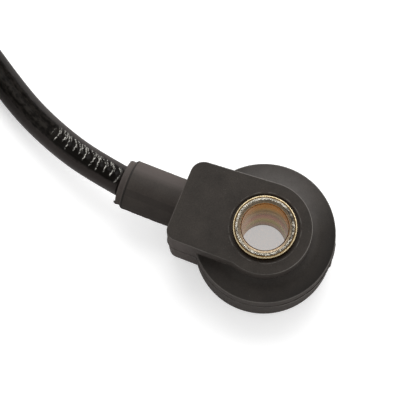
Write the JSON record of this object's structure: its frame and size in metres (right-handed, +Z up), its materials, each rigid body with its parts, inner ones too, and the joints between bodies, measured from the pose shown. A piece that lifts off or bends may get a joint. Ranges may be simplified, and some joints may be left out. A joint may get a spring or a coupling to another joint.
{
  "type": "engine knock sensor",
  "caption": "Ring-shaped piezo knock sensor: plated steel bushing in a black moulded housing, with a side lead laid in a coil and a sealed two-way plug.",
  "frame": {"origin": "on the bore's axis, at the bushing's bottom face, which bears on the engine", "axes": "+Z up along the bore towards the bolt head; the lead leaves the housing towards -X"},
  "size_m": [0.1423, 0.0785, 0.018],
  "materials": {
    "black_nylon": "moulded, fine matt grain",
    "plated_steel": "turned and yellow zinc plated",
    "plain_steel": "turned, lightly oiled",
    "spring_steel": "blued",
    "insulating_film": "amber film",
    "contact_brass": "stamped",
    "tinned_copper": "tinned",
    "piezo_ceramic": "fired ceramic with silvered faces",
    "resistor_coat": "dipped coating",
    "cable_jacket": "extruded, semi gloss",
    "signal_insulation": "extruded",
    "ground_insulation": "extruded",
    "tie_strap": "matt",
    "seal_rubber": "moulded silicone"
  },
  "bodies": {
    "root": {"housing": "black_nylon", "bushing": "plated_steel", "insulating_sleeve": "insulating_film", "lower_insulator": "insulating_film", "upper_insulator": "insulating_film", "lower_contact_plate": "contact_brass", "upper_contact_plate": "contact_brass", "piezo_ring": "piezo_ceramic", "seismic_mass": "plain_steel", "disc_spring": "spring_steel", "clamp_nut": "plain_steel", "bleed_resistor": "resistor_coat", "signal_terminal": "tinned_copper", "ground_terminal": "tinned_copper", "signal_wire": "signal_insulation", "ground_wire": "ground_insulation", "cable_end": "cable_jacket", "lead": "cable_jacket", "lead_coil": "cable_jacket", "lead_tail": "cable_jacket", "coil_tie": "tie_strap", "plug_housing": "black_nylon", "plug_rear_cap": "black_nylon", "plug_cable_seal": "seal_rubber", "plug_cable_end": "cable_jacket", "plug_pin_1": "tinned_copper", "plug_pin_2": "tinned_copper", "plug_wire_1": "signal_insulation", "plug_wire_2": "ground_insulation"}
  },
  "joints": []
}
